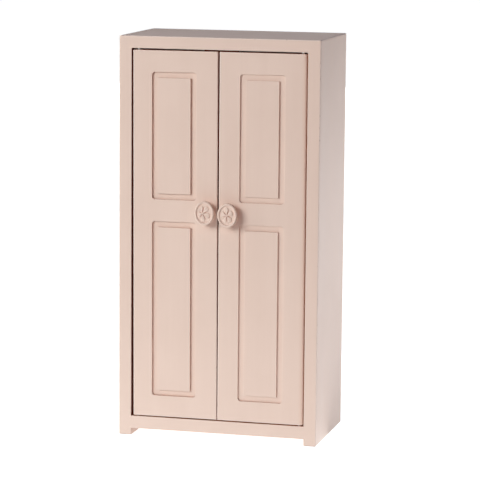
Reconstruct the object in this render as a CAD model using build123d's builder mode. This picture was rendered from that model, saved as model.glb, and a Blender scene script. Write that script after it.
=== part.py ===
from build123d import *
import os
from math import cos, radians, sin

# A toy wardrobe for a doll or a dressed mouse: four painted boards make the carcass, a thin panel closes
# the back, a rail carries the clothes, and two doors with routed panels turn on pins at their outer edges.
#
# Millimetres. +X is the wardrobe's right as seen from the front, +Y runs from front to back and +Z is up.
# The origin is on the floor, midway between the knobs' faces and the back.

# Carcass
height = 205.0
width = 104.0
depth = 60.0
board = 6.5  # thickness of the side and bottom boards
top_board = 6.2
foot = 3.5  # the side boards reach this far below the bottom board
edge_round = 0.6
opening_round = 0.15

# Back panel, let into a rebate that runs round the back of all four boards
panel_thickness = 3.0
rebate = 3.0
panel_clearance = 0.15
panel_edge_round = 0.2

# Doors, hung by hand, so that the left one leans and the gap between the two narrows towards the floor
door_thickness = 5.0
door_round = 0.5
hinge_edge_round = {"left": 0.5, "right": 1.0}  # the front corner beside the pins
door_back_round = 0.4
door_lean = {"left": 0.16, "right": 0.0}  # degrees, with the top towards the hinges
hinge_gap = {"left": 1.1, "right": 0.45}
centre_gap = 0.6
top_gap = 0.78
bottom_gap = 0.5

# Routed panels: a flat-bottomed groove runs round each raised field
field_frame_width = 23.1  # the groove's outer width
field_frame_shift = {"left": 0.6, "right": -0.1}  # from the door's middle towards its hinges
groove_width = 3.0
groove_depth = {"left": 1.3, "right": 0.95}
groove_rim_round = 0.15
top_rail = 10.92
middle_rail = 11.2
bottom_rail = {"left": 10.9, "right": 10.6}
upper_frame_height = 64.5

# Pivot pins, fast in the carcass and running in the doors
pin_radius = 0.7
pin_running_clearance = 0.05
pin_inset = {"left": 2.3, "right": 2.35}  # from the door's outer edge
pin_from_front = 2.0  # less than half the door, so that its edge clears the side board as it turns
pin_in_board = 5.0
pin_in_door = 8.0
pin_end_play = 0.5

# Knobs, fitted by hand, so that the two don't quite match
knob_reach = 6.0
knob_head_thickness = 2.5
knob_width = 10.2
knob_height = 12.2
knob_from_edge = {"left": 5.45, "right": 5.85}
knob_lift = {"left": 0.25, "right": -0.4}  # from the middle rail's own middle
knob_edge_round = 0.6
knob_rim = 1.5
knob_recess = 0.7
stem_radius = 2.6
petals = 5
petal_turn = {"left": 64, "right": 89}
petal_place = 0.56  # of the way from the middle to the rim
petal_length = 0.36
petal_width = 0.26
petal_height = 0.5
centre_boss_radius = 0.75

# Knob screws
screw_radius = 1.0
screw_hole_radius = 1.15
screw_in_knob = 4.0
screw_head_radius = 1.9
screw_head_height = 1.2
screw_head_round = 0.5
slot_length = 2.4
slot_width = 0.45
slot_depth = 0.6

# Clothes rail
rail_radius = 2.5
rail_in_side = 3.0
rail_drop = 22.8  # from the underside of the top board to the rail's axis
rail_chamfer = 0.3
fit_clearance = 0.05

# Door stop with two magnets, and the steel discs that they hold
stop_width = 18.0
stop_height = 8.0
stop_depth = 6.0
stop_gap = 0.4  # behind the doors
stop_chamfer = 0.6
magnet_radius = 2.0
magnet_thickness = 2.0
magnet_proud = 0.1
disc_radius = 2.5
disc_thickness = 0.8
disc_proud = 0.2
catch_x = 5.0
catch_drop = 4.5  # from the underside of the top board

# Dowels that join the boards
dowel_radius = 1.5
dowel_in_side = 4.5
dowel_in_board = 8.0
dowel_from_face = 15.0

# Brads that hold the back panel
brad_radius = 0.5
brad_length = 10.0
brad_head_radius = 1.1
brad_head_thickness = 0.4
brad_side_inset = 26.0
brad_top_spacing = 46.0

# Places worked out from the sizes above
front = knob_reach - (depth + knob_reach) / 2
back = front + depth
inner_half = width / 2 - board
opening_bottom = foot + board
opening_top = height - top_board
opening_height = opening_top - opening_bottom

hands = {"left": -1, "right": 1}
door_outer = {hand: inner_half - hinge_gap[hand] for hand in hands}
door_inner = centre_gap / 2
door_bottom = opening_bottom + bottom_gap
door_top = opening_top - top_gap
door_height = door_top - door_bottom
door_back = front + door_thickness

upper_frame_top = door_top - top_rail
upper_frame_bottom = upper_frame_top - upper_frame_height
lower_frame_top = upper_frame_bottom - middle_rail

pin_x = {hand: door_outer[hand] - pin_inset[hand] for hand in hands}
pin_y = front + pin_from_front
middle_rail_z = (upper_frame_bottom + lower_frame_top) / 2
rail_z = opening_top - rail_drop
rail_y = (door_back + back - panel_thickness) / 2
catch_z = opening_top - catch_drop
stop_front = door_back + stop_gap

floor_box = (Align.CENTER, Align.MIN, Align.MIN)


def front_plane(x, y, z):
    """A plane that faces the viewer: its x is +X, its y is +Z and its normal is -Y."""
    return Plane(origin=(x, y, z), x_dir=(1, 0, 0), z_dir=(0, -1, 0))


def back_plane(x, y, z):
    """A plane that faces the wall: its normal is +Y, so that holes in it run forward."""
    return Plane(origin=(x, y, z), x_dir=(1, 0, 0), z_dir=(0, 1, 0))


def inward_plane(side, x, y, z):
    """A plane on the inner face of a side board: its normal points to the middle of the wardrobe."""
    return Plane(origin=(side * x, y, z), x_dir=(0, 1, 0), z_dir=(-side, 0, 0))


def outward_plane(side, x, y, z):
    """A plane on the end of a cross board: its normal points to that end's side board."""
    return Plane(origin=(side * x, y, z), x_dir=(0, 1, 0), z_dir=(side, 0, 0))


def save(part, name):
    part.label = name
    export_step(part, f"parts/{name}.step")


os.makedirs("parts", exist_ok=True)

board_middles = {"top": height - top_board / 2, "bottom": foot + board / 2}
dowel_ys = (front + dowel_from_face, back - dowel_from_face)
brad_zs = (
    opening_bottom + brad_side_inset,
    (opening_bottom + opening_top) / 2,
    opening_top - brad_side_inset,
)
brad_line = inner_half + rebate / 2  # the brads' distance from the middle, in each side board
brad_rows = {"top": opening_top + rebate / 2, "bottom": opening_bottom - rebate / 2}

# The four boards are sanded as one carcass, so their roundings meet at the joints. This is that shape, before
# it is parted at the joints and drilled.
with BuildPart() as carcass:
    with Locations((0, front, 0)):
        Box(width, depth, height, align=floor_box)
    with Locations((0, front, opening_bottom)):
        Box(2 * inner_half, depth, opening_height, align=floor_box, mode=Mode.SUBTRACT)
    with Locations((0, front, 0)):
        Box(2 * inner_half, depth, foot, align=floor_box, mode=Mode.SUBTRACT)
    with Locations((0, back - panel_thickness, opening_bottom - rebate)):
        Box(
            2 * (inner_half + rebate),
            panel_thickness,
            opening_height + 2 * rebate,
            align=floor_box,
            mode=Mode.SUBTRACT,
        )
    front_edges = carcass.edges().filter_by_position(Axis.Y, front, front)
    opening_edges = front_edges.filter_by(
        lambda edge: abs(edge.center().X) < inner_half + 0.1
        and opening_bottom - 0.1 < edge.center().Z < opening_top + 0.1
    )
    fillet(opening_edges, opening_round)
    outer_edges = carcass.edges().filter_by(
        lambda edge: (abs(edge.center().X) > width / 2 - 0.1 or edge.center().Z > height - 0.1)
        and edge.length > board
    )
    fillet(outer_edges, edge_round)

# Side boards, which stand on the floor
for hand, side in hands.items():
    with BuildPart() as side_board:
        add(carcass.part)
        split(bisect_by=outward_plane(side, inner_half, 0, 0), keep=Keep.TOP)
        with Locations(inward_plane(side, inner_half, rail_y, rail_z)):
            Hole(rail_radius + fit_clearance, depth=rail_in_side + fit_clearance)
        for middle in board_middles.values():
            for y in dowel_ys:
                with Locations(inward_plane(side, inner_half, y, middle)):
                    Hole(dowel_radius, depth=dowel_in_side)
        for z in brad_zs:
            with Locations(back_plane(side * brad_line, back - panel_thickness, z)):
                Hole(brad_radius, depth=brad_length - panel_thickness)
    save(side_board.part, f"{hand}_side")

# Top and bottom boards, held between the sides
for level, middle in board_middles.items():
    with BuildPart() as cross_board:
        add(carcass.part)
        for side in hands.values():
            split(bisect_by=outward_plane(side, inner_half, 0, 0), keep=Keep.BOTTOM)
        split(
            bisect_by=Plane.XY.offset(height / 2),
            keep=Keep.TOP if level == "top" else Keep.BOTTOM,
        )
        # The pins stand in the face towards the doors.
        pin_face_z = opening_top if level == "top" else opening_bottom
        into_board = 180 if level == "top" else 0
        for hand, side in hands.items():
            with Locations(Location((side * pin_x[hand], pin_y, pin_face_z), (into_board, 0, 0))):
                Hole(pin_radius, depth=pin_in_board)
            for y in dowel_ys:
                with Locations(outward_plane(side, inner_half, y, middle)):
                    Hole(dowel_radius, depth=dowel_in_board)
            with Locations(
                back_plane(side * brad_top_spacing / 2, back - panel_thickness, brad_rows[level])
            ):
                Hole(brad_radius, depth=brad_length - panel_thickness)
    save(cross_board.part, f"{level}_board")

# Dowels in the eight corner joints
with BuildPart() as dowels:
    for side in hands.values():
        for middle in board_middles.values():
            for y in dowel_ys:
                with BuildSketch(outward_plane(side, inner_half - dowel_in_board, y, middle)):
                    Circle(dowel_radius)
                extrude(amount=dowel_in_board + dowel_in_side)
save(dowels.part, "carcass_dowels")

# Back panel and its brads
brad_places = [(side * brad_line, z) for side in hands.values() for z in brad_zs]
brad_places += [(side * brad_top_spacing / 2, z) for side in hands.values() for z in brad_rows.values()]

with BuildPart() as back_panel:
    with Locations((0, back - panel_thickness, opening_bottom - rebate + panel_clearance)):
        Box(
            2 * (inner_half + rebate - panel_clearance),
            panel_thickness,
            opening_height + 2 * (rebate - panel_clearance),
            align=floor_box,
        )
    fillet(back_panel.edges().group_by(Axis.Y)[-1], panel_edge_round)
    with Locations([back_plane(x, back, z) for x, z in brad_places]):
        CounterBoreHole(brad_radius, brad_head_radius, brad_head_thickness, depth=panel_thickness)
save(back_panel.part, "back_panel")

with BuildPart() as brads:
    for x, z in brad_places:
        with BuildSketch(back_plane(x, back, z)):
            Circle(brad_radius)
        extrude(amount=-brad_length)
        with BuildSketch(back_plane(x, back, z)):
            Circle(brad_head_radius)
        extrude(amount=-brad_head_thickness)
save(brads.part, "back_panel_brads")

# Clothes rail, a dowel let into both sides
with BuildPart() as rail:
    with BuildSketch(Plane.YZ.offset(-inner_half - rail_in_side)):
        with Locations((rail_y, rail_z)):
            Circle(rail_radius)
    extrude(amount=2 * (inner_half + rail_in_side))
    chamfer(rail.edges().filter_by(GeomType.CIRCLE), rail_chamfer)
save(rail.part, "clothes_rail")

# Door stop under the top board, with a magnet for each door
with BuildPart() as stop:
    with Locations((0, stop_front, opening_top)):
        Box(stop_width, stop_depth, stop_height, align=(Align.CENTER, Align.MIN, Align.MAX))
    chamfer(stop.edges().group_by(Axis.Z)[0], stop_chamfer)
    with Locations([front_plane(side * catch_x, stop_front, catch_z) for side in hands.values()]):
        Hole(magnet_radius, depth=magnet_thickness - magnet_proud)
save(stop.part, "door_stop")

for hand, side in hands.items():
    with BuildPart() as magnet:
        with BuildSketch(front_plane(side * catch_x, stop_front - magnet_proud, catch_z)):
            Circle(magnet_radius)
        extrude(amount=-magnet_thickness)
    save(magnet.part, f"{hand}_magnet")

# Doors, with everything that turns with them
for hand, side in hands.items():
    door_width = door_outer[hand] - door_inner
    door_middle_x = side * (door_outer[hand] + door_inner) / 2
    door_middle_z = (door_bottom + door_top) / 2
    lean = radians(door_lean[hand])
    door_face = Plane(
        origin=(door_middle_x, front, door_middle_z),
        x_dir=(cos(lean), 0, -side * sin(lean)),
        z_dir=(0, -1, 0),
    )
    frame_spans = (
        (upper_frame_bottom, upper_frame_top),
        (door_bottom + bottom_rail[hand], lower_frame_top),
    )
    door_pin_x = side * pin_x[hand]
    knob_x = side * (door_inner + knob_from_edge[hand])
    knob_z = middle_rail_z + knob_lift[hand]

    with BuildPart() as door:
        with BuildSketch(door_face):
            Rectangle(door_width, door_height)
        extrude(amount=-door_thickness)
        front_edges = door.edges().group_by(Axis.Y)[0].sort_by(lambda edge: side * edge.center().X)
        fillet(front_edges[-1], hinge_edge_round[hand])
        front_edges = door.edges().group_by(Axis.Y)[0].sort_by(lambda edge: side * edge.center().X)
        fillet(front_edges[:-1], door_round)
        fillet(door.edges().group_by(Axis.Y)[-1], door_back_round)
        with BuildSketch(door_face):
            for low, high in frame_spans:
                with Locations((side * field_frame_shift[hand], (low + high) / 2 - door_middle_z)):
                    RectangleRounded(field_frame_width, high - low, groove_width / 2)
                    Rectangle(
                        field_frame_width - 2 * groove_width,
                        high - low - 2 * groove_width,
                        mode=Mode.SUBTRACT,
                    )
        extrude(amount=-groove_depth[hand], mode=Mode.SUBTRACT)
        fillet(door.edges(Select.LAST).filter_by_position(Axis.Y, front, front), groove_rim_round)
        with Locations((door_pin_x, pin_y, door_top)):
            Hole(pin_radius + pin_running_clearance, depth=pin_in_door + pin_end_play)
        with Locations(Location((door_pin_x, pin_y, door_bottom), (180, 0, 0))):
            Hole(pin_radius + pin_running_clearance, depth=pin_in_door + pin_running_clearance)
        with Locations(back_plane(knob_x, door_back, knob_z)):
            Hole(screw_hole_radius, depth=door_thickness)
        with Locations(back_plane(side * catch_x, door_back, catch_z)):
            Hole(disc_radius, depth=disc_thickness - disc_proud)
    save(door.part, f"{hand}_door")

    # Knob: an oval head with a raised rim round a five-petalled rosette, on a round stem
    with BuildPart() as knob:
        with BuildSketch(front_plane(knob_x, front, knob_z)):
            Circle(stem_radius)
        extrude(amount=knob_reach - knob_head_thickness)
        with BuildSketch(front_plane(knob_x, front - knob_reach + knob_head_thickness, knob_z)):
            Ellipse(knob_width / 2, knob_height / 2)
        extrude(amount=knob_head_thickness)
        fillet(knob.edges().group_by(Axis.Y)[0], knob_edge_round)
        field_x = knob_width / 2 - knob_rim
        field_z = knob_height / 2 - knob_rim
        with BuildSketch(front_plane(knob_x, front - knob_reach, knob_z)):
            Ellipse(field_x, field_z)
        extrude(amount=-knob_recess, mode=Mode.SUBTRACT)
        with BuildSketch(front_plane(knob_x, front - knob_reach + knob_recess, knob_z)):
            for petal in range(petals):
                turn = petal_turn[hand] + petal * 360 / petals
                petal_x = petal_place * field_x * cos(radians(turn))
                petal_z = petal_place * field_z * sin(radians(turn))
                with Locations(Location((petal_x, petal_z, 0), (0, 0, turn))):
                    Ellipse(petal_length * field_z, petal_width * field_z)
            Circle(centre_boss_radius)
        extrude(amount=petal_height)
        with Locations(back_plane(knob_x, front, knob_z)):
            Hole(screw_radius, depth=screw_in_knob)
    save(knob.part, f"{hand}_knob")

    with BuildPart() as screw:
        with BuildSketch(back_plane(knob_x, door_back, knob_z)):
            Circle(screw_head_radius)
        extrude(amount=screw_head_height)
        fillet(screw.edges().group_by(Axis.Y)[-1], screw_head_round)
        with BuildSketch(back_plane(knob_x, door_back + screw_head_height, knob_z)):
            Rectangle(slot_length, slot_width)
            Rectangle(slot_width, slot_length)
        extrude(amount=-slot_depth, mode=Mode.SUBTRACT)
        with BuildSketch(back_plane(knob_x, door_back, knob_z)):
            Circle(screw_radius)
        extrude(amount=-(door_thickness + screw_in_knob - fit_clearance))
    save(screw.part, f"{hand}_knob_screw")

    with BuildPart() as disc:
        with BuildSketch(back_plane(side * catch_x, door_back + disc_proud, catch_z)):
            Circle(disc_radius)
        extrude(amount=-disc_thickness)
    save(disc.part, f"{hand}_catch_disc")

    # Pivot pins: the lower pin's end carries the door's weight
    for level, (low, high) in {
        "upper": (door_top - pin_in_door, opening_top + pin_in_board),
        "lower": (opening_bottom - pin_in_board, door_bottom + pin_in_door),
    }.items():
        with BuildPart() as pin:
            with BuildSketch(Plane.XY.offset(low)):
                with Locations((door_pin_x, pin_y)):
                    Circle(pin_radius)
            extrude(amount=high - low)
        save(pin.part, f"{hand}_{level}_pivot_pin")
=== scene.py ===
"""A miniature wardrobe in powder-pink paint. Metres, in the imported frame: +Z up, doors towards -Y."""

from math import cos, exp, pi, radians, sin, tau

import bmesh
import bpy
from mathutils import Matrix, Vector


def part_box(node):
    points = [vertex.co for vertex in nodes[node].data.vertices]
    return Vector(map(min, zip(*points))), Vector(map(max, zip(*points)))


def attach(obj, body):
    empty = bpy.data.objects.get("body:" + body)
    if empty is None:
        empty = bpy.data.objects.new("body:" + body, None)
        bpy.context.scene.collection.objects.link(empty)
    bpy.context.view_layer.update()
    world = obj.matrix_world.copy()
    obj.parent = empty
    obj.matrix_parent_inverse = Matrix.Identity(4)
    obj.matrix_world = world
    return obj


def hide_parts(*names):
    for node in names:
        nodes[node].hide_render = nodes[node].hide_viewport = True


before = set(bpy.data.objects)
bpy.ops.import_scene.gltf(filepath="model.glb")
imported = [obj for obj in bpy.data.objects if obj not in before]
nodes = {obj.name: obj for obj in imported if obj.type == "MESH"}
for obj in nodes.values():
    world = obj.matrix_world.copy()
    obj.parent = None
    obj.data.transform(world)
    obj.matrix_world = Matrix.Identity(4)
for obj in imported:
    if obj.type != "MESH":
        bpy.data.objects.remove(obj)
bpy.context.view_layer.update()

mm = 0.001
scene = bpy.context.scene


# ---------------------------------------------------------------- camera

camera_azimuth = radians(14.375)  # to the wardrobe's right
camera_elevation = radians(8.528)
camera_roll = radians(0.496)
camera_distance = 1269.35 * mm
camera_aim = (3.74 * mm, -3.51 * mm)  # right and up from the middle of the carcass
camera_lens = 184.71  # millimetres, for a sensor 36 mm wide

side_low, side_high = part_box("left_side")
carcass_middle = Vector((0, (side_low.y + side_high.y) / 2, side_high.z / 2))


def make_camera():
    data = bpy.data.cameras.new("camera")
    data.lens = camera_lens
    data.clip_start = 10 * mm
    data.clip_end = 100
    camera = bpy.data.objects.new("camera", data)
    scene.collection.objects.link(camera)
    back = Vector((
        sin(camera_azimuth) * cos(camera_elevation),
        -cos(camera_azimuth) * cos(camera_elevation),
        sin(camera_elevation),
    ))
    level_right = Vector((cos(camera_azimuth), sin(camera_azimuth), 0))
    level_up = back.cross(level_right)
    right = cos(camera_roll) * level_right + sin(camera_roll) * level_up
    up = cos(camera_roll) * level_up - sin(camera_roll) * level_right
    place = carcass_middle + right * camera_aim[0] + up * camera_aim[1] + back * camera_distance
    camera.matrix_world = Matrix.Translation(place) @ Matrix((right, up, back)).transposed().to_4x4()
    scene.camera = camera


make_camera()


# ---------------------------------------------------------------- studio

def make_floor():
    data = bpy.data.meshes.new("floor")
    reach = 15
    corners = [(-reach, -reach, 0), (reach, -reach, 0), (reach, reach, 0), (-reach, reach, 0)]
    data.from_pydata(corners, [], [(0, 1, 2, 3)])
    floor = bpy.data.objects.new("floor", data)
    scene.collection.objects.link(floor)
    material = bpy.data.materials.new("floor")
    material.use_nodes = True
    surface = material.node_tree.nodes["Principled BSDF"]
    surface.inputs["Base Color"].default_value = (0.88, 0.88, 0.88, 1)
    surface.inputs["Roughness"].default_value = 0.9
    surface.inputs["Specular IOR Level"].default_value = 0.1
    surface.inputs["Emission Color"].default_value = (1, 1, 1, 1)
    surface.inputs["Emission Strength"].default_value = 1.0
    data.materials.append(material)
    floor.visible_diffuse = False


def make_world(strength, backdrop):
    """An even white world, which lights with one strength and is seen beyond the floor with another."""
    world = bpy.data.worlds.new("studio")
    world.use_nodes = True
    tree = world.node_tree
    background = tree.nodes["Background"]
    background.inputs["Color"].default_value = (1, 1, 1, 1)
    path = tree.nodes.new("ShaderNodeLightPath")
    choice = tree.nodes.new("ShaderNodeMapRange")
    choice.inputs["To Min"].default_value = strength
    choice.inputs["To Max"].default_value = backdrop
    tree.links.new(choice.inputs["Value"], path.outputs["Is Camera Ray"])
    tree.links.new(background.inputs["Strength"], choice.outputs["Result"])
    scene.world = world


def make_softbox(name, azimuth, elevation, distance, size, watts, colour, aim=(0, 0, 0.1)):
    """An area light aimed at a point of the wardrobe. Azimuth 0 is in front and 90 is on its right."""
    data = bpy.data.lights.new(name, "AREA")
    data.shape = "RECTANGLE"
    data.size, data.size_y = size
    data.energy = watts
    data.color = colour
    light = bpy.data.objects.new(name, data)
    scene.collection.objects.link(light)
    a = radians(azimuth)
    e = radians(elevation)
    away = Vector((sin(a) * cos(e), -cos(a) * cos(e), sin(e)))
    light.location = Vector(aim) + away * distance
    light.rotation_mode = "QUATERNION"
    light.rotation_quaternion = away.to_track_quat("Z", "Y")
    light.visible_camera = False


scene.view_settings.view_transform = "Standard"
make_floor()
make_world(0.005, 1.2)
make_softbox("key", -28, 22, 1.0, (0.5, 0.5), 6.80, (0.935, 1.0, 1.002))
make_softbox("left_fill", -75, 8, 2.0, (1.2, 1.0), 11.0, (1.0, 0.95, 0.92))
make_softbox("front_fill", 35, 0, 2.0, (1.6, 1.6), 6.0, (1.0, 0.40, 0.30))
make_softbox("right_fill", 112, 0, 0.32, (0.25, 0.06), 0.56, (0.912, 1.0, 1.067), aim=(0, 0, 0.085))
make_softbox("back_light", 188, 12, 2.0, (1.2, 1.2), 5.0, (1.0, 0.97, 0.94))
make_softbox("overhead", 0, 85, 1.0, (0.6, 0.6), 0.836, (1.037, 1.0, 1.435))
make_softbox("table_glow", 0, -90, 0.05, (0.4, 0.24), 0.245, (0.919, 1.0, 1.036),
             aim=(-0.02, -0.12, 0.0502))


# ---------------------------------------------------------------- materials

class Shader:
    """A material being built: each call adds a node and gives back an output."""

    def __init__(self, name):
        self.material = bpy.data.materials.new(name)
        self.material.use_nodes = True
        self.tree = self.material.node_tree
        self.surface = self.tree.nodes["Principled BSDF"]

    def plug(self, socket, value):
        if isinstance(value, bpy.types.NodeSocket):
            self.tree.links.new(value, socket)
        elif isinstance(value, (tuple, list)) and len(value) == 3 and socket.type == "RGBA":
            socket.default_value = (*value, 1)
        else:
            socket.default_value = value

    def node(self, kind, inputs, output=0, **settings):
        made = self.tree.nodes.new("ShaderNode" + kind)
        for name, value in settings.items():
            setattr(made, name, value)
        for name, value in inputs.items():
            self.plug(made.inputs[name], value)
        return made.outputs[output]

    def finish_with(self, **inputs):
        for name, value in inputs.items():
            self.plug(self.surface.inputs[name.replace("_", " ")], value)
        return self.material

    def place(self, stretch=(1, 1, 1)):
        """Where a point is on its piece, in metres, squeezed along each axis by stretch."""
        where = self.node("TexCoord", {}, output="Object")
        return self.node("Mapping", {"Vector": where, "Scale": stretch})

    def noise(self, size, stretch=(1, 1, 1), detail=4.0, roughness=0.5, distortion=0.0):
        """Noise from 0 to 1 whose lumps are about size metres across."""
        return self.node("TexNoise", {"Vector": self.place(stretch), "Scale": 1 / size, "Detail": detail,
                                      "Roughness": roughness, "Distortion": distortion}, output="Fac")

    def ramp(self, value, low, high, to_low=0.0, to_high=1.0):
        """value from low to high becomes to_low to to_high, and stays there outside."""
        return self.node("MapRange", {"Value": value, "From Min": low, "From Max": high,
                                      "To Min": to_low, "To Max": to_high}, interpolation_type="SMOOTHSTEP")

    def math(self, operation, a, b=0.0):
        return self.node("Math", {0: a, 1: b}, operation=operation, use_clamp=False)

    def mix(self, share, a, b, blend="MIX"):
        made = self.tree.nodes.new("ShaderNodeMix")
        made.data_type = "RGBA"
        made.blend_type = blend
        for index, value in ((0, share), (6, a), (7, b)):
            self.plug(made.inputs[index], value)
        return made.outputs[2]

    def edge(self):
        """1 on the rounding of an edge, 0 on the flat faces of a piece that lies along the axes."""
        normal = self.node("TexCoord", {}, output="Normal")
        size = self.node("VectorMath", {0: normal}, operation="ABSOLUTE")
        x, y, z = self.node("SeparateXYZ", {"Vector": size}).node.outputs
        flatness = self.math("MAXIMUM", self.math("MAXIMUM", x, y), z)
        return self.ramp(flatness, 0.985, 0.90)

    def crevice(self, distance, shallow, deep):
        """1 where no more than the share deep of the sky is open, 0 where the share shallow or more is."""
        open_share = self.node("AmbientOcclusion", {"Distance": distance}, output="AO", samples=16)
        return self.ramp(open_share, shallow, deep)

    def bump(self, height, distance, strength=1.0, normal=None):
        inputs = {"Height": height, "Distance": distance, "Strength": strength}
        if normal is not None:
            inputs["Normal"] = normal
        return self.node("Bump", inputs)


paint = (0.813, 0.615, 0.519)
paint_pale = (0.874, 0.679, 0.580)
paint_deep = (0.742, 0.548, 0.454)
# Dark brown: grime on chipped edges, and painted shade in creases and hollows.
grime_and_shade_brown = (0.30, 0.15, 0.09)
# Pale paint for edge roundings: a painted highlight, partly worn paint.
worn_paint_and_highlight = (0.97, 0.81, 0.72)
# Near-black brown: painted shade for the deep gaps.
near_black_shade = (0.24, 0.020, 0.005)
# Warm brown: painted shade with painted bounce light, for gaps and for a strip beside the right door's
# outer edge.
warm_brown_shade = (0.66, 0.30, 0.15)
# Dark brown: painted shade on up-facing walls of creases and gaps.
ledge_shade_colour = (0.42, 0.11, 0.03)


def painted_wood(name, grain, shade_on_upright_gap_walls, shade_on_level_gap_walls, crease_dust_and_shade_amount=0.5, outer_edge_shade_from=None, outer_edge_shade_to=None):
    """Satin paint over fine-grained wood. grain is the squeeze along each axis: small along the grain.
    The two gap tones are painted shade for the walls of narrow gaps, upright walls and ones that face up.
    The dust amount is how dark the corners and creases are painted: painted shade, partly dust. The strip
    arguments paint warm shade on the face, which grows from one distance to the right of the wardrobe's
    middle to another."""
    s = Shader(name)
    fibres = s.noise(0.7 * mm, grain, detail=6, roughness=0.6)
    strokes = s.noise(6 * mm, grain, detail=3)
    mottle = s.noise(30 * mm, detail=3)
    colour = s.mix(s.ramp(strokes, 0.3, 0.7, 0, 0.30), paint, paint_pale)
    colour = s.mix(s.ramp(mottle, 0.35, 0.7, 0, 0.22), colour, paint_deep)
    colour = s.mix(s.ramp(fibres, 0.55, 0.8, 0, 0.12), colour, paint_deep)
    edge = s.edge()
    # Edge roundings painted paler: a painted highlight, partly worn paint.
    colour = s.mix(s.math("MULTIPLY", edge, 0.7), colour, worn_paint_and_highlight)
    chips = s.ramp(s.noise(1.6 * mm, detail=5, roughness=0.7), 0.60, 0.68)
    colour = s.mix(s.math("MULTIPLY", s.math("MULTIPLY", edge, chips), 0.45), colour, grime_and_shade_brown)
    where = s.node("SeparateXYZ", {"Vector": s.place()}).node.outputs
    if outer_edge_shade_from is not None:
        # Painted shade in warm brown along a strip of the face, growing towards the outer edge.
        outer_edge_shade = s.ramp(where["X"], outer_edge_shade_from, outer_edge_shade_to, 0, 0.3)
        colour = s.mix(outer_edge_shade, colour, warm_brown_shade)
    # The painted shade below stops short of the feet.
    above_foot = s.ramp(where["Z"], 1 * mm, 4 * mm)
    normal = s.node("NewGeometry", {}, output="Normal")
    facing_up = s.ramp(s.node("SeparateXYZ", {"Vector": normal}, output="Z"), 0.3, 0.9)
    # Creases and corners painted darker in patches: painted shade, partly dust.
    patches = s.ramp(s.noise(4 * mm, detail=4), 0.3, 0.7, 0.4 * crease_dust_and_shade_amount, crease_dust_and_shade_amount)
    crease_dust_and_shade = s.math("MULTIPLY", s.crevice(1.5 * mm, 0.72, 0.25), patches)
    colour = s.mix(crease_dust_and_shade, colour, grime_and_shade_brown)
    # Up-facing walls of creases painted darker: painted shade.
    ledge_shade_mask = s.math("MULTIPLY", s.crevice(1.5 * mm, 0.9, 0.6), s.math("MULTIPLY", facing_up, 0.95))
    colour = s.mix(s.math("MULTIPLY", ledge_shade_mask, above_foot), colour, ledge_shade_colour)
    # Painted shade in narrow gaps: upright walls and up-facing walls each get their own shade tone.
    deep = s.math("MULTIPLY", s.crevice(8 * mm, 0.34, 0.12), above_foot)
    colour = s.mix(s.math("MULTIPLY", deep, 0.95), colour, s.mix(facing_up, shade_on_upright_gap_walls, shade_on_level_gap_walls))
    roughness = s.ramp(strokes, 0.3, 0.7, 0.46, 0.56)
    orange_peel = s.noise(1.1 * mm, detail=2)
    height = s.math("ADD", s.math("MULTIPLY", fibres, 0.7), s.math("MULTIPLY", orange_peel, 0.3))
    # No sheen in the deep gaps, which darkens the painted shade there further.
    gloss = s.ramp(deep, 0, 1, 0.4, 0.0)
    return s.finish_with(Base_Color=colour, Roughness=roughness, Specular_IOR_Level=gloss,
                         Normal=s.bump(height, 0.05 * mm, 0.6))


def bare_beech(name, grain):
    s = Shader(name)
    bands = s.noise(3 * mm, grain, detail=4, distortion=0.6)
    flecks = s.ramp(s.noise(0.5 * mm, grain, detail=2), 0.58, 0.7)
    colour = s.mix(bands, (0.62, 0.42, 0.24), (0.78, 0.58, 0.38))
    colour = s.mix(s.math("MULTIPLY", flecks, 0.45), colour, (0.36, 0.20, 0.10))
    return s.finish_with(Base_Color=colour, Roughness=s.ramp(bands, 0.2, 0.8, 0.5, 0.65),
                         Normal=s.bump(flecks, 0.03 * mm, 0.5))


def knob_coat(name):
    """Satin paint on a moulded knob, darker and redder in the hollows: painted shade, partly paint that has
    run in.
    """
    s = Shader(name)
    mottle = s.noise(2.5 * mm, detail=3)
    colour = s.mix(s.ramp(mottle, 0.35, 0.7, 0, 0.4), paint, paint_pale)
    patches = s.ramp(s.noise(1.2 * mm, detail=3), 0.3, 0.7, 0.3, 0.9)
    # Hollows painted darker and redder: painted shade, partly pooled paint.
    hollow_shade_and_pooling = s.math("MULTIPLY", s.crevice(1.2 * mm, 0.84, 0.40), patches)
    colour = s.mix(hollow_shade_and_pooling, colour, (0.56, 0.25, 0.17))
    orange_peel = s.noise(0.9 * mm, detail=2)
    return s.finish_with(Base_Color=colour, Roughness=s.ramp(mottle, 0.3, 0.7, 0.42, 0.54),
                         Specular_IOR_Level=0.4, Normal=s.bump(orange_peel, 0.04 * mm, 0.6))


def panel_board(name):
    """Thin hard board under one coat of matt paint."""
    s = Shader(name)
    pulp = s.noise(0.9 * mm, detail=8, roughness=0.7)
    mottle = s.noise(18 * mm, detail=3)
    colour = s.mix(s.ramp(mottle, 0.3, 0.7, 0, 0.35), paint, paint_deep)
    colour = s.mix(s.ramp(pulp, 0.58, 0.72, 0, 0.3), colour, (0.55, 0.38, 0.28))
    # Corners painted darker: painted shade, partly dust.
    crease_dust_and_shade = s.math("MULTIPLY", s.crevice(2 * mm, 0.85, 0.25), 0.5)
    colour = s.mix(crease_dust_and_shade, colour, grime_and_shade_brown)
    return s.finish_with(Base_Color=colour, Roughness=s.ramp(pulp, 0.3, 0.7, 0.62, 0.8),
                         Specular_IOR_Level=0.25, Normal=s.bump(pulp, 0.06 * mm, 0.5))


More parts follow.
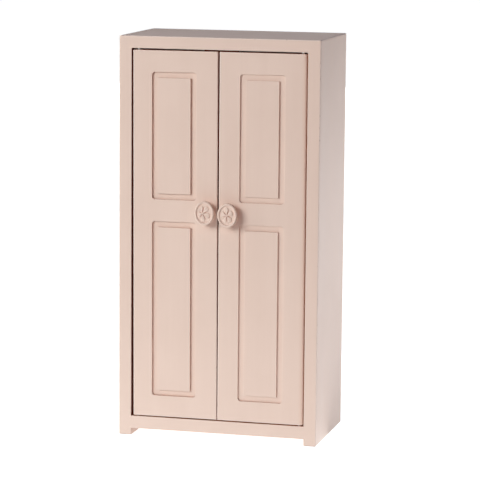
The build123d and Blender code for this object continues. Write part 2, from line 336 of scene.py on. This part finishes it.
def plated_metal(name, tone, worn_tone, roughness):
    s = Shader(name)
    cloud = s.noise(1.5 * mm, detail=5)
    scratches = s.noise(0.25 * mm, (1, 1, 0.1), detail=3)
    colour = s.mix(s.ramp(cloud, 0.4, 0.75), tone, worn_tone)
    dull = s.ramp(cloud, 0.3, 0.8, roughness, roughness + 0.18)
    return s.finish_with(Base_Color=colour, Metallic=1.0,
                         Roughness=s.math("ADD", dull, s.math("MULTIPLY", scratches, 0.08)),
                         Normal=s.bump(scratches, 0.01 * mm, 0.4))


upright = (1, 1, 0.05)
level = (0.05, 1, 1)
left_paint = painted_wood("painted_wood_left", upright, near_black_shade, near_black_shade, crease_dust_and_shade_amount=0.9)
right_paint = painted_wood("painted_wood_right", upright, warm_brown_shade, near_black_shade)
right_door_paint = painted_wood("painted_wood_right_door", upright, warm_brown_shade, near_black_shade,
                                outer_edge_shade_from=42.4 * mm, outer_edge_shade_to=45.0 * mm)
top_paint = painted_wood("painted_wood_top", level, near_black_shade, near_black_shade)
bottom_paint = painted_wood("painted_wood_bottom", level, warm_brown_shade, warm_brown_shade)
knob_paint = knob_coat("painted_knob")
beech = bare_beech("bare_beech", level)
board = panel_board("back_panel_board")
zinc = plated_metal("zinc", (0.62, 0.60, 0.56), (0.40, 0.36, 0.31), 0.32)
nickel = plated_metal("nickel", (0.76, 0.75, 0.73), (0.60, 0.58, 0.55), 0.16)

finishes = {
    left_paint: ("left_side", "left_door"),
    right_paint: ("right_side",),
    right_door_paint: ("right_door",),
    top_paint: ("top_board", "door_stop"),
    bottom_paint: ("bottom_board",),
    beech: ("clothes_rail", "carcass_dowels"),
    board: ("back_panel",),
    nickel: ("left_magnet", "right_magnet"),
    zinc: (
        "back_panel_brads",
        "left_upper_pivot_pin",
        "left_lower_pivot_pin",
        "right_upper_pivot_pin",
        "right_lower_pivot_pin",
        "left_knob_screw",
        "right_knob_screw",
        "left_catch_disc",
        "right_catch_disc",
    ),
    knob_paint: ("left_knob", "right_knob"),
}
for material, names in finishes.items():
    for name in names:
        for slot in nodes[name].material_slots:
            slot.material = material


# ---------------------------------------------------------------- knobs

rim_half = 0.63 * mm  # half the rim's width
recess = 0.60 * mm
edge_drop = 0.60 * mm
head_thickness = 2.5 * mm
head_round = 0.3 * mm
stem_radius = 2.6 * mm
screw_radius = 1.0 * mm
screw_depth = 4.0 * mm
petal_count = 5
petal_half_angle = radians(30)
petal_rise = 0.60 * mm

# Shares of the way from the rosette's middle to the rim's foot, or of a petal's own length or rise.
petal_reach = 0.86
petal_shoulder = 0.25
vein_depth = 0.16
vein_width = 0.05
vein_start = 0.25
boss_radius = 0.15
boss_rise = 0.95


def rosette_depth(share, angle, turn):
    """How far a point inside the rim lies behind its crown. share is 0 in the middle, 1 at the rim's foot.
    turn is where the first petal points."""
    spacing = tau / petal_count
    off_axis = (angle - turn + spacing / 2) % spacing - spacing / 2
    across = abs(off_axis) / petal_half_angle
    reach = petal_reach * (1 - petal_shoulder * min(across, 1) ** 2)
    side_fall = max(0, 1 - across ** 4) ** 0.5
    end_fall = max(0, 1 - (share / reach) ** 5) ** 0.5
    vein = vein_depth * exp(-((off_axis * share) / vein_width) ** 2) * min(share / vein_start, 1)
    boss = boss_rise * exp(-((share / boss_radius) ** 4))
    rise = max(side_fall * end_fall * (1 - vein), boss)
    return recess - petal_rise * rise


def make_knob(hand, turn, offset):
    """An oval knob with a rounded rim round a five-petalled rosette, on a stem that takes the screw.
    offset is how far the rosette's middle sits to the right of the rim's."""
    low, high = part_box(f"{hand}_knob")
    middle_x, middle_z = (low.x + high.x) / 2, (low.z + high.z) / 2
    half_width, half_height = (high.x - low.x) / 2, (high.z - low.z) / 2
    length = high.y - low.y
    segments = 192
    field_rings = 44
    rim_rings = 18

    rings = []  # each is (half width, half height, depth at each angle, distance to the right)
    angles = [tau * i / segments for i in range(segments)]
    field_width, field_height = half_width - 2 * rim_half, half_height - 2 * rim_half
    for i in range(1, field_rings):
        share = i / field_rings
        depths = [rosette_depth(share, a, turn) for a in angles]
        rings.append((share * field_width, share * field_height, depths, offset * (1 - share)))
    for i in range(rim_rings + 1):
        way = pi * i / rim_rings
        inset = rim_half * (1 + cos(way))
        drop = recess if way < pi / 2 else edge_drop
        rings.append((half_width - inset, half_height - inset, [drop * (1 - sin(way))] * segments, 0))
    outline = [
        (half_width, half_height, head_thickness - head_round),
        (half_width - 0.1 * mm, half_height - 0.1 * mm, head_thickness - 0.08 * mm),
        (half_width - head_round, half_height - head_round, head_thickness),
        (stem_radius + head_round, stem_radius + head_round, head_thickness),
        (stem_radius, stem_radius, head_thickness + head_round),
        (stem_radius, stem_radius, length),
        (screw_radius, screw_radius, length),
        (screw_radius, screw_radius, length - screw_depth),
    ]
    rings += [(a, b, [depth] * segments, 0) for a, b, depth in outline]

    mesh = bmesh.new()
    first = mesh.verts.new((middle_x + offset, low.y + rosette_depth(0, 0, turn), middle_z))
    loops = []
    for a, b, depths, shift in rings:
        loops.append([
            mesh.verts.new((middle_x + shift + a * cos(angle), low.y + depth, middle_z + b * sin(angle)))
            for angle, depth in zip(angles, depths)
        ])
    last = mesh.verts.new((middle_x, high.y - screw_depth, middle_z))
    for i in range(segments):
        j = (i + 1) % segments
        mesh.faces.new((first, loops[0][i], loops[0][j]))
        mesh.faces.new((last, loops[-1][j], loops[-1][i]))
        for inner, outer in zip(loops, loops[1:]):
            mesh.faces.new((inner[i], outer[i], outer[j], inner[j]))
    bmesh.ops.recalc_face_normals(mesh, faces=mesh.faces)
    data = bpy.data.meshes.new(f"{hand}_knob_rosette")
    mesh.to_mesh(data)
    mesh.free()
    data.shade_smooth()
    data.set_sharp_from_angle(angle=radians(50))
    data.materials.append(knob_paint)
    knob = bpy.data.objects.new(f"{hand}_knob_rosette", data)
    scene.collection.objects.link(knob)
    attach(knob, f"{hand}_door")
    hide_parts(f"{hand}_knob")


make_knob("left", radians(50), -0.75 * mm)
make_knob("right", radians(24), -0.2 * mm)
